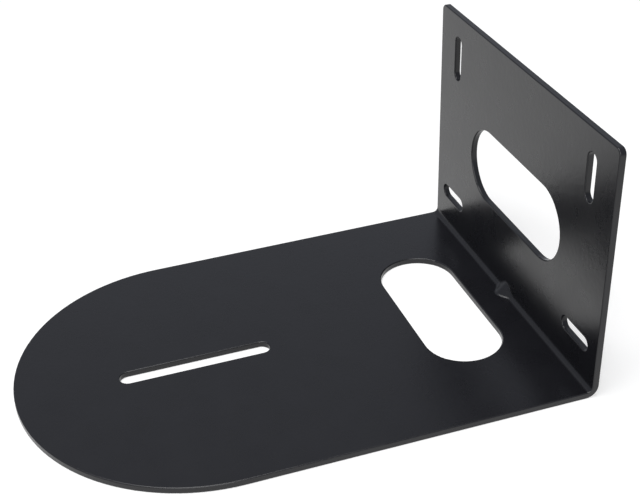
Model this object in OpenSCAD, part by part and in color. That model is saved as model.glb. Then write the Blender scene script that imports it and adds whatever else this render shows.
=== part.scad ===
// Camera wall mount: one sheet of steel, cut, folded once and powder-coated.
// A shelf with a round front carries the camera, and a wall plate is screwed to the wall.
// A dart is pressed into the fold's inside corner, to stiffen it.
// Origin: middle of the wall plate's back face. +X is across the width, the wall lies
// towards +Y, and +Z is up.
// The modules measure from the fold instead: the wall is at y = 0, and the shelf stands on z = 0.

/* [Sheet] */
// Width of the shelf and the wall plate
plate_w = 160; // [150:1:200]
// Length of the shelf, from the wall to the tip of its round front
shelf_l = 234; // [215:1:280]
// Height of the wall plate, from the shelf's underside
wall_h = 117; // [112:1:160]
// Thickness of the sheet
sheet_t = 3; // [1.5:0.1:4]
// Inside radius of the fold
fold_r = 2.5; // [1.5:0.1:6]
// Radius of the wall plate's two top corners
corner_r = 3; // [1:0.1:9]
// Rounding of every cut edge, under its powder coat
edge_r = 0.5; // [0.2:0.05:0.7]

/* [Cable openings] */
// Length of both cable openings, end to end across the width
opening_l = 85.5; // [50:0.5:110]
// Width of both cable openings
opening_w = 35.4; // [20:0.2:44]
// Distance of the shelf's cable opening from the wall, to its middle
shelf_opening_y = 37; // [32:0.2:50]
// Height of the wall plate's cable opening, to its middle
wall_opening_z = 56.2; // [44:0.2:66]

/* [Camera slot] */
// Diameter of the camera screw
camera_screw_d = 6.35; // [5:0.05:9.6]
// Play of the camera screw across its slot
camera_screw_play = 1.65; // [0.4:0.05:2.5]
// Travel of the camera screw along its slot
camera_travel = 60.6; // [20:0.2:80]
// Distance of the camera slot from the wall, to its middle
camera_slot_y = 154; // [125:0.5:175]

/* [Wall slots] */
// Diameter of the wall screws
wall_screw_d = 5; // [4:0.5:6]
// Play of a wall screw across its slot
wall_screw_play = 1.4; // [0.4:0.1:2]
// Travel of a wall screw along its slot
wall_travel = 15.4; // [6:0.2:20]
// Distance between the left and the right slots, middle to middle
slot_spacing = 123; // [90:1:134]
// Height of the upper, upright slots, to their middle
upper_slot_z = 96; // [86:0.5:102]
// Height of the lower, level slots, to their middle
lower_slot_z = 21; // [14:0.5:32]

/* [Stiffening dart] */
// Width of the dart along the fold, from foot to foot
dart_w = 15; // [10:0.5:24]
// Height of the dart's ridge over the fold, square to the ridge
dart_rise = 2.6; // [1.5:0.1:5]

/* [Hidden] */
$fn = 96;
// How far a cutter reaches past the faces that it opens
past = 1;
// How deep the dart's feet start inside the sheet, so that they leave it at a clear angle
foot_sink = 0.03;
// Steps of the dart's surface along the fold, and in each of its two rounded feet
dart_steps = 32;
foot_steps = 6;

front_r = plate_w / 2;
fold_out_r = fold_r + sheet_t;
camera_slot_w = camera_screw_d + camera_screw_play;
camera_slot_l = camera_travel + camera_slot_w;
wall_slot_w = wall_screw_d + wall_screw_play;
wall_slot_l = wall_travel + wall_slot_w;

// Each hole is [middle across, middle along its plate, size across, size along]
shelf_holes = [
    [0, -shelf_opening_y, opening_l, opening_w],
    [0, -camera_slot_y, camera_slot_w, camera_slot_l]
];
wall_holes = [
    [0, wall_opening_z, opening_l, opening_w],
    for (side = [-1, 1]) [side * slot_spacing / 2, upper_slot_z, wall_slot_w, wall_slot_l],
    for (side = [-1, 1]) [side * slot_spacing / 2, lower_slot_z, wall_slot_l, wall_slot_w]
];

// Section across a strip of the sheet that lies on y = 0, with both of its edges rounded
module strip_section(width) {
    translate([edge_r - width / 2, 0]) square([width - 2 * edge_r, sheet_t]);
    translate([-width / 2, edge_r]) square([width, sheet_t - 2 * edge_r]);
    for (side = [-1, 1], level = [edge_r, sheet_t - edge_r])
        translate([side * (width / 2 - edge_r), level]) circle(edge_r);
}

// The right half of that section, from the strip's middle out to one rounded edge
module half_section(reach) {
    intersection() {
        strip_section(2 * reach);
        square([reach, sheet_t]);
    }
}

// Flat shelf, from the fold to its round front
module shelf_plate() {
    straight_l = shelf_l - front_r - fold_out_r;
    translate([0, -fold_out_r, 0]) rotate([90, 0, 0])
        linear_extrude(straight_l) strip_section(plate_w);
    translate([0, front_r - shelf_l, 0]) rotate([0, 0, 180])
        rotate_extrude(angle = 180) half_section(front_r);
}

// Quarter turn of the whole strip, from the shelf up to the wall plate
module fold() {
    translate([0, -fold_out_r, fold_out_r]) rotate([0, 90, 0])
        rotate_extrude(angle = 90) translate([fold_r, 0]) rotate(-90) strip_section(plate_w);
}

// Upright plate on the wall, with its two top corners and the edge between them
module wall_plate() {
    straight_h = wall_h - corner_r - fold_out_r;
    top_l = plate_w - 2 * corner_r;
    translate([0, -sheet_t, fold_out_r]) linear_extrude(straight_h) strip_section(plate_w);
    translate([-top_l / 2, 0, wall_h - corner_r]) rotate([180, -90, 0])
        linear_extrude(top_l) half_section(corner_r);
    for (side = [0, 1])
        translate([(0.5 - side) * top_l, 0, wall_h - corner_r]) rotate([90, 0, 0])
            rotate([0, 0, 90 * side]) rotate_extrude(angle = 90) half_section(corner_r);
}

// Places its children at a hole of a plate that lies on z = 0, with x along the hole's length
module at_hole(hole) {
    turn = hole[3] > hole[2] ? 90 : 0;
    translate([hole[0], hole[1], 0]) rotate([0, 0, turn]) children();
}

// Slot with round ends that cuts right through the sheet
module slot_cutter(length, width) {
    translate([0, 0, -past]) {
        translate([(width - length) / 2, -width / 2, 0])
            cube([length - width, width, sheet_t + 2 * past]);
        for (side = [-1, 1])
            translate([side * (length - width) / 2, 0, 0]) cylinder(h = sheet_t + 2 * past, d = width);
    }
}

// Section of the sheet beside a hole: square where it joins the plate, round towards the hole
module rim_section(hole_w) {
    translate([hole_w / 2, 0]) intersection() {
        union() {
            translate([0, edge_r]) square([edge_r, sheet_t - 2 * edge_r]);
            for (level = [edge_r, sheet_t - edge_r]) translate([edge_r, level]) circle(edge_r);
        }
        square([edge_r, sheet_t]);
    }
}

// Rounded rim that lines a slot with round ends
module slot_rim(length, width) {
    straight_l = length - width;
    for (turn = [0, 180]) rotate([0, 0, turn]) {
        translate([-straight_l / 2, 0, 0]) rotate([90, 0, 90])
            linear_extrude(straight_l) rim_section(width);
        translate([straight_l / 2, 0, 0]) rotate([0, 0, -90])
            rotate_extrude(angle = 180) rim_section(width);
    }
}

// All holes of one plate, first cut wide enough for their rims and then lined with them
module pierced(holes) {
    difference() {
        children();
        for (hole = holes) at_hole(hole)
            slot_cutter(max(hole[2], hole[3]) + 2 * edge_r, min(hole[2], hole[3]) + 2 * edge_r);
    }
    for (hole = holes) at_hole(hole) slot_rim(max(hole[2], hole[3]), min(hole[2], hole[3]));
}

// How far the ridge of the dart stands out at a place along the fold: a smooth wave
function dart_height(x) = dart_rise * (1 + cos(360 * x / dart_w)) / 2;

// Section of the dart's face at a place along the fold, as points [distance from the wall, height].
// A straight flight at 45 degrees joins both plates through round feet of the given radius.
// Outside the dart the two feet meet and are the plain fold.
function dart_section(height, level, radius) =
    let (flight = 2 * level + (2 - sqrt(2)) * radius + sqrt(2) * height,
        foot = [flight - level + radius * tan(22.5), level + radius],
        turns = [for (i = [0:foot_steps]) 45 * i / foot_steps])
    [
        [level, level],
        for (a = turns) foot - radius * [sin(a), cos(a)],
        for (a = turns) [foot[1], foot[0]] - radius * [sin(45 + a), cos(45 + a)]
    ];

// Solid between the dart's face and the corner where the two levels meet
module dart(level, radius) {
    ring = 2 * foot_steps + 3;
    places = [for (i = [0:dart_steps - 1]) dart_w * ((i + 0.5) / dart_steps - 0.5)];
    points = [
        for (x = places, p = dart_section(dart_height(x), level, radius)) [x, -p[0], p[1]]
    ];
    last = (dart_steps - 1) * ring;
    ends = [for (j = [1:ring - 2]) each [[0, j + 1, j], [last, last + j, last + j + 1]]];
    sides = [
        for (i = [0:dart_steps - 2], j = [0:ring - 1])
            let (a = i * ring + j, b = i * ring + (j + 1) % ring)
            each [[a, b, a + ring], [b, b + ring, a + ring]]
    ];
    polyhedron(points, concat(ends, sides));
}

// The folded sheet: the dart stands out inside the fold and leaves a dent behind it
module bracket() {
    color([0.2, 0.205, 0.215]) translate([0, 0, -wall_h / 2]) difference() {
        union() {
            pierced(shelf_holes) shelf_plate();
            fold();
            rotate([90, 0, 0]) pierced(wall_holes) rotate([-90, 0, 0]) wall_plate();
            dart(sheet_t - foot_sink, fold_r);
        }
        dart(-foot_sink, fold_out_r);
    }
}

bracket();
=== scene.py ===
"""Looks of a folded-steel camera wall mount: its powder coat, a pale studio and the camera."""

from math import cos, radians, sin

import bpy
import numpy as np
from bpy.props import FloatProperty, FloatVectorProperty, PointerProperty
from mathutils import Matrix, Vector


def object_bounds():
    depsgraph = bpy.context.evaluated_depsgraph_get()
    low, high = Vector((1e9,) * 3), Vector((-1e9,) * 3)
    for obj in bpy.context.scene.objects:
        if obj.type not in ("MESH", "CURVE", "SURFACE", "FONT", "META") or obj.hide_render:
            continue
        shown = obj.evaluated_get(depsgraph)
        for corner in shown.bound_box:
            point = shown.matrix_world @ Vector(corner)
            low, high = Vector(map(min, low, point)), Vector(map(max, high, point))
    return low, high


bl_info = {
    "name": "Camera Wall Mount",
    "version": (1, 0, 0),
    "blender": (4, 5, 0),
    "location": "3D View > Sidebar > Wall Mount",
    "description": "Coats a folded-steel camera wall mount and sets up a studio round it",
    "category": "Object",
}

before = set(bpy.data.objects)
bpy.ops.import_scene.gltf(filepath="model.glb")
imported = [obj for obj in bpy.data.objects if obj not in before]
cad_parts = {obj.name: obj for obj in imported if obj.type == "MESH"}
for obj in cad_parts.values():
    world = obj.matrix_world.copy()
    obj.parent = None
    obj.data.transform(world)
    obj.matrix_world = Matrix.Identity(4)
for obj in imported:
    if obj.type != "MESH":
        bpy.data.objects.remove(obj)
CAD_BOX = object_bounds()
WHITE = (1.0, 1.0, 1.0, 1.0)

# width in pixels of the picture that the camera's pixel values refer to
IMAGE_WIDTH = 640
NEAR_CLIP = 0.01

# how many finer layers each noise of the coat has
PEEL_DETAIL = 1.0
GRAIN_DETAIL = 3.0
CLOUD_DETAIL = 2.0

# each lamp's azimuth from the front towards +X, and its elevation, in degrees
TOP_LAMP = (0, 80)
FILL_LAMP = (74, 30)

# grid lines each way in the floor
FLOOR_LINES = 3


class WallMountCoat(bpy.types.PropertyGroup):
    """Powder coat of the folded sheet."""

    colour: FloatVectorProperty(
        name="Colour", description="Colour of the powder coat", subtype="COLOR",
        size=3, min=0.0, max=1.0, default=(0.0046, 0.0046, 0.0062),
    )
    cloudiness: FloatProperty(
        name="Clouds", description="Share by which colour and roughness drift over the sheet",
        subtype="FACTOR", min=0.0, max=1.0, default=0.15,
    )
    cloud_size: FloatProperty(
        name="Cloud size", description="Width of the soft clouds in the coat",
        unit="LENGTH", min=0.001, max=0.5, default=0.014,
    )
    roughness: FloatProperty(
        name="Roughness", description="How dull the satin coat is",
        subtype="FACTOR", min=0.0, max=1.0, default=0.28,
    )
    specular_level: FloatProperty(
        name="Specular level",
        description="How strongly the coat mirrors, where 0.5 is a clear lacquer",
        subtype="FACTOR", min=0.0, max=1.0, default=0.40,
    )
    peel_size: FloatProperty(
        name="Peel size", description="Width of the waves that the coat sets in as it melts",
        unit="LENGTH", min=0.0005, max=0.01, default=0.0022,
    )
    peel_depth: FloatProperty(
        name="Peel depth", description="Height of those waves",
        unit="LENGTH", min=0.0, max=0.0002, default=0.000032,
    )
    grain_size: FloatProperty(
        name="Grain size", description="Width of the powder's fine grain",
        unit="LENGTH", min=0.0001, max=0.005, default=0.0004,
    )
    grain_depth: FloatProperty(
        name="Grain depth", description="Height of the powder's fine grain",
        unit="LENGTH", min=0.0, max=0.0002, default=0.00001,
    )


class WallMountStudio(bpy.types.PropertyGroup):
    """Floor, light and camera."""

    floor_size: FloatProperty(
        name="Floor size", description="Side of the square floor",
        unit="LENGTH", min=1.0, max=50.0, default=12.0,
    )
    floor_colour: FloatVectorProperty(
        name="Floor colour", description="Colour of the floor", subtype="COLOR",
        size=3, min=0.0, max=1.0, default=(0.64, 0.64, 0.64),
    )
    floor_glow: FloatProperty(
        name="Floor glow",
        description="White that the floor adds for the camera and in reflections",
        min=0.0, max=1.0, default=0.5,
    )
    sky_colour: FloatVectorProperty(
        name="Sky colour", description="Slightly cool colour of the sky", subtype="COLOR",
        size=3, min=0.0, max=1.0, default=(0.86, 0.90, 1.0),
    )
    sky_light: FloatProperty(
        name="Sky light", description="Strength of the even light from all round",
        min=0.0, max=2.0, default=0.08,
    )
    sky_glow: FloatProperty(
        name="Sky glow",
        description="What the sky adds for the camera and in reflections",
        min=0.0, max=1.0, default=0.48,
    )
    top_power: FloatProperty(
        name="Top lamp", description="Power of the soft lamp over the object",
        unit="POWER", min=0.0, max=500.0, default=20.0,
    )
    fill_power: FloatProperty(
        name="Fill lamp", description="Power of the soft lamp beside the camera",
        unit="POWER", min=0.0, max=500.0, default=14.0,
    )
    lamp_size: FloatProperty(
        name="Lamp size", description="Side of each square lamp",
        unit="LENGTH", min=0.1, max=5.0, default=1.0,
    )
    lamp_distance: FloatProperty(
        name="Lamp distance", description="From each lamp to the object's middle",
        unit="LENGTH", min=0.5, max=10.0, default=1.5,
    )
    azimuth: FloatProperty(
        name="Azimuth", description="Camera's turn round the object, from the front towards +X",
        subtype="ANGLE", default=radians(74.091),
    )
    elevation: FloatProperty(
        name="Elevation", description="Camera's height angle",
        subtype="ANGLE", default=radians(33.142),
    )
    roll: FloatProperty(
        name="Roll", description="Camera's turn about its own view",
        subtype="ANGLE", default=radians(-3.139),
    )
    distance: FloatProperty(
        name="Distance", description="From the camera to the point that it looks at",
        unit="LENGTH", min=0.1, max=10.0, default=0.58263,
    )
    target: FloatVectorProperty(
        name="Target", description="Point that the camera looks at", subtype="XYZ",
        unit="LENGTH", size=3, default=(-0.0375, -0.10315, -0.0396),
    )
    focal_pixels: FloatProperty(
        name="Focal length", description="In pixels of a picture 640 pixels wide",
        min=100.0, max=5000.0, default=1241.73,
    )
    centre_offset: FloatVectorProperty(
        name="Centre offset",
        description="Pixels right and down from the picture's middle to the view's axis",
        size=2, default=(-42.28, 16.56),
    )


def new_material(name):
    """An empty node material with its output; returns the material, its nodes and its links."""
    material = bpy.data.materials.new(name)
    material.use_nodes = True
    tree = material.node_tree
    tree.nodes.clear()
    tree.nodes.new("ShaderNodeOutputMaterial")
    return material, tree.nodes, tree.links


def object_noise(nodes, links, size, detail):
    """Noise of a given width in the object's own coordinates; returns its value, from 0 to 1."""
    place = nodes.new("ShaderNodeTexCoord")
    noise = nodes.new("ShaderNodeTexNoise")
    noise.inputs["Scale"].default_value = 1 / size
    noise.inputs["Detail"].default_value = detail
    links.new(place.outputs["Object"], noise.inputs["Vector"])
    return noise.outputs["Fac"]


def bumped(nodes, links, height, depth, normal=None):
    """Normal of a surface that rises by depth where the height is 1, over any earlier bump."""
    bump = nodes.new("ShaderNodeBump")
    bump.inputs["Distance"].default_value = depth
    links.new(height, bump.inputs["Height"])
    if normal:
        links.new(normal, bump.inputs["Normal"])
    return bump.outputs["Normal"]


def powder_coat(coat):
    """Satin black powder coat: soft waves, a fine grain on them, and clouds in colour and gloss."""
    material, nodes, links = new_material("satin_powder_coat")
    shader = nodes.new("ShaderNodeBsdfPrincipled")
    shader.inputs["Specular IOR Level"].default_value = coat.specular_level
    peel = object_noise(nodes, links, coat.peel_size, PEEL_DETAIL)
    grain = object_noise(nodes, links, coat.grain_size, GRAIN_DETAIL)
    cloud = object_noise(nodes, links, coat.cloud_size, CLOUD_DETAIL)
    tint = nodes.new("ShaderNodeMix")
    tint.data_type = "RGBA"
    tint.inputs["A"].default_value = (*[(1 - coat.cloudiness) * c for c in coat.colour], 1.0)
    tint.inputs["B"].default_value = (*[(1 + coat.cloudiness) * c for c in coat.colour], 1.0)
    gloss = nodes.new("ShaderNodeMapRange")
    gloss.inputs["To Min"].default_value = coat.roughness * (1 - coat.cloudiness)
    gloss.inputs["To Max"].default_value = coat.roughness * (1 + coat.cloudiness)
    waves = bumped(nodes, links, peel, coat.peel_depth)
    links.new(cloud, tint.inputs["Factor"])
    links.new(cloud, gloss.inputs["Value"])
    links.new(tint.outputs["Result"], shader.inputs["Base Color"])
    links.new(gloss.outputs["Result"], shader.inputs["Roughness"])
    links.new(bumped(nodes, links, grain, coat.grain_depth, waves), shader.inputs["Normal"])
    links.new(shader.outputs["BSDF"], nodes["Material Output"].inputs["Surface"])
    return material


def seen_background(nodes, links):
    """1 for rays that show the background itself: camera, glossy and transmission rays."""
    rays = nodes.new("ShaderNodeLightPath")
    seen = rays.outputs["Is Camera Ray"]
    for kind in ("Is Glossy Ray", "Is Transmission Ray"):
        either = nodes.new("ShaderNodeMath")
        either.operation = "MAXIMUM"
        links.new(seen, either.inputs[0])
        links.new(rays.outputs[kind], either.inputs[1])
        seen = either.outputs[0]
    return seen


def floor_material(studio):
    """Matt pale floor that takes the object's shadow and glows where it is seen or mirrored."""
    material, nodes, links = new_material("studio_floor")
    matt = nodes.new("ShaderNodeBsdfDiffuse")
    matt.inputs["Color"].default_value = (*studio.floor_colour, 1.0)
    glow = nodes.new("ShaderNodeEmission")
    glow.inputs["Color"].default_value = WHITE
    amount = nodes.new("ShaderNodeMath")
    amount.operation = "MULTIPLY"
    amount.inputs[1].default_value = studio.floor_glow
    links.new(seen_background(nodes, links), amount.inputs[0])
    links.new(amount.outputs[0], glow.inputs["Strength"])
    both = nodes.new("ShaderNodeAddShader")
    links.new(matt.outputs["BSDF"], both.inputs[0])
    links.new(glow.outputs["Emission"], both.inputs[1])
    links.new(both.outputs["Shader"], nodes["Material Output"].inputs["Surface"])
    return material


def pale_world(studio):
    """Plain sky: a dim even light from all round, paler where it is seen or mirrored."""
    world = bpy.data.worlds.new("studio_sky")
    world.use_nodes = True
    nodes, links = world.node_tree.nodes, world.node_tree.links
    sky = nodes["Background"]
    sky.inputs["Color"].default_value = (*studio.sky_colour, 1.0)
    strength = nodes.new("ShaderNodeMath")
    strength.operation = "MULTIPLY_ADD"
    strength.inputs[1].default_value = studio.sky_glow
    strength.inputs[2].default_value = studio.sky_light
    links.new(seen_background(nodes, links), strength.inputs[0])
    links.new(strength.outputs[0], sky.inputs["Strength"])
    bpy.context.scene.world = world


def grid_surface(name, across, along, height):
    """A level sheet: point (u, v) of the grid is (across of u, along of v, height)."""
    x, y = np.meshgrid(across, along, indexing="ij")
    points = np.stack([x, y, np.full_like(x, height)], axis=-1).reshape(-1, 3)
    number = np.arange(x.size).reshape(x.shape)
    corners = [number[:-1, :-1], number[1:, :-1], number[1:, 1:], number[:-1, 1:]]
    faces = np.stack(corners, axis=-1).reshape(-1, 4)
    mesh = bpy.data.meshes.new(name)
    mesh.from_pydata(points.tolist(), [], faces.tolist())
    piece = bpy.data.objects.new(name, mesh)
    bpy.context.scene.collection.objects.link(piece)
    return piece


def direction(azimuth, elevation):
    """Unit vector (sin a cos e, -cos a cos e, sin e): azimuth 0 is the front, 90 degrees is +X."""
    return Vector((sin(azimuth) * cos(elevation), -cos(azimuth) * cos(elevation), sin(elevation)))


def soft_lamp(name, place, power, middle, studio):
    """Square area lamp aimed at the object's middle; its place is an azimuth and an elevation."""
    lamp = bpy.data.lights.new(name, "AREA")
    lamp.shape = "SQUARE"
    lamp.size = studio.lamp_size
    lamp.energy = power
    way = direction(*np.radians(place))
    holder = bpy.data.objects.new(name, lamp)
    holder.location = middle + way * studio.lamp_distance
    holder.rotation_mode = "QUATERNION"
    holder.rotation_quaternion = (-way).to_track_quat("-Z", "Y")
    bpy.context.scene.collection.objects.link(holder)


def aim_camera(studio):
    """Camera at its angles and distance from the target, with the photo's framing.

    Its right is the level direction turned by the roll about the view, and its shift puts the
    view's axis where it meets the photo.
    """
    back = direction(studio.azimuth, studio.elevation)
    level = Vector((cos(studio.azimuth), sin(studio.azimuth), 0.0))
    right = level * cos(studio.roll) + back.cross(level) * sin(studio.roll)
    turn = Matrix((right, back.cross(right), back)).transposed()
    data = bpy.data.cameras.new("photo_camera")
    data.lens = data.sensor_width * studio.focal_pixels / IMAGE_WIDTH
    data.shift_x = -studio.centre_offset[0] / IMAGE_WIDTH
    data.shift_y = studio.centre_offset[1] / IMAGE_WIDTH
    data.clip_start = NEAR_CLIP
    camera = bpy.data.objects.new("photo_camera", data)
    place = Vector(studio.target) + back * studio.distance
    camera.matrix_world = Matrix.Translation(place) @ turn.to_4x4()
    bpy.context.scene.collection.objects.link(camera)
    bpy.context.scene.camera = camera


class WALLMOUNT_OT_coat_bracket(bpy.types.Operator):
    """Give the folded sheet its powder coat"""

    bl_idname = "wall_mount.coat_bracket"
    bl_label = "Coat the Bracket"

    def execute(self, context):
        coat = powder_coat(context.scene.wall_mount_coat)
        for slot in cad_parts["bracket"].material_slots:
            slot.material = coat
        return {"FINISHED"}


class WALLMOUNT_OT_build_stage(bpy.types.Operator):
    """Lay the floor, light the object and place the camera"""

    bl_idname = "wall_mount.build_stage"
    bl_label = "Build the Stage"

    def execute(self, context):
        studio = context.scene.wall_mount_studio
        low, high = CAD_BOX
        middle = (low + high) / 2
        reach = np.linspace(-studio.floor_size / 2, studio.floor_size / 2, FLOOR_LINES)
        floor = grid_surface("floor", middle.x + reach, middle.y + reach, low.z)
        floor.data.materials.append(floor_material(studio))
        pale_world(studio)
        soft_lamp("top_lamp", TOP_LAMP, studio.top_power, middle, studio)
        soft_lamp("fill_lamp", FILL_LAMP, studio.fill_power, middle, studio)
        aim_camera(studio)
        context.scene.view_settings.view_transform = "Standard"
        return {"FINISHED"}


class WALLMOUNT_PT_sidebar(bpy.types.Panel):
    """Sizes, colours and steps of the camera wall mount"""

    bl_idname = "WALLMOUNT_PT_sidebar"
    bl_label = "Camera Wall Mount"
    bl_space_type = "VIEW_3D"
    bl_region_type = "UI"
    bl_category = "Wall Mount"

    def draw(self, context):
        layout = self.layout
        for settings in (context.scene.wall_mount_coat, context.scene.wall_mount_studio):
            box = layout.box()
            for name in settings.bl_rna.properties.keys():
                if name not in {"rna_type", "name"}:
                    box.prop(settings, name)
        for step in STEPS:
            layout.operator(step.bl_idname)


STEPS = (WALLMOUNT_OT_coat_bracket, WALLMOUNT_OT_build_stage)
CLASSES = (WallMountCoat, WallMountStudio, *STEPS, WALLMOUNT_PT_sidebar)


def register():
    for cls in CLASSES:
        bpy.utils.register_class(cls)
    bpy.types.Scene.wall_mount_coat = PointerProperty(type=WallMountCoat)
    bpy.types.Scene.wall_mount_studio = PointerProperty(type=WallMountStudio)


def unregister():
    del bpy.types.Scene.wall_mount_studio
    del bpy.types.Scene.wall_mount_coat
    for cls in reversed(CLASSES):
        bpy.utils.unregister_class(cls)


def main():
    register()
    bpy.ops.wall_mount.coat_bracket()
    bpy.ops.wall_mount.build_stage()


if __name__ == "__main__":
    main()
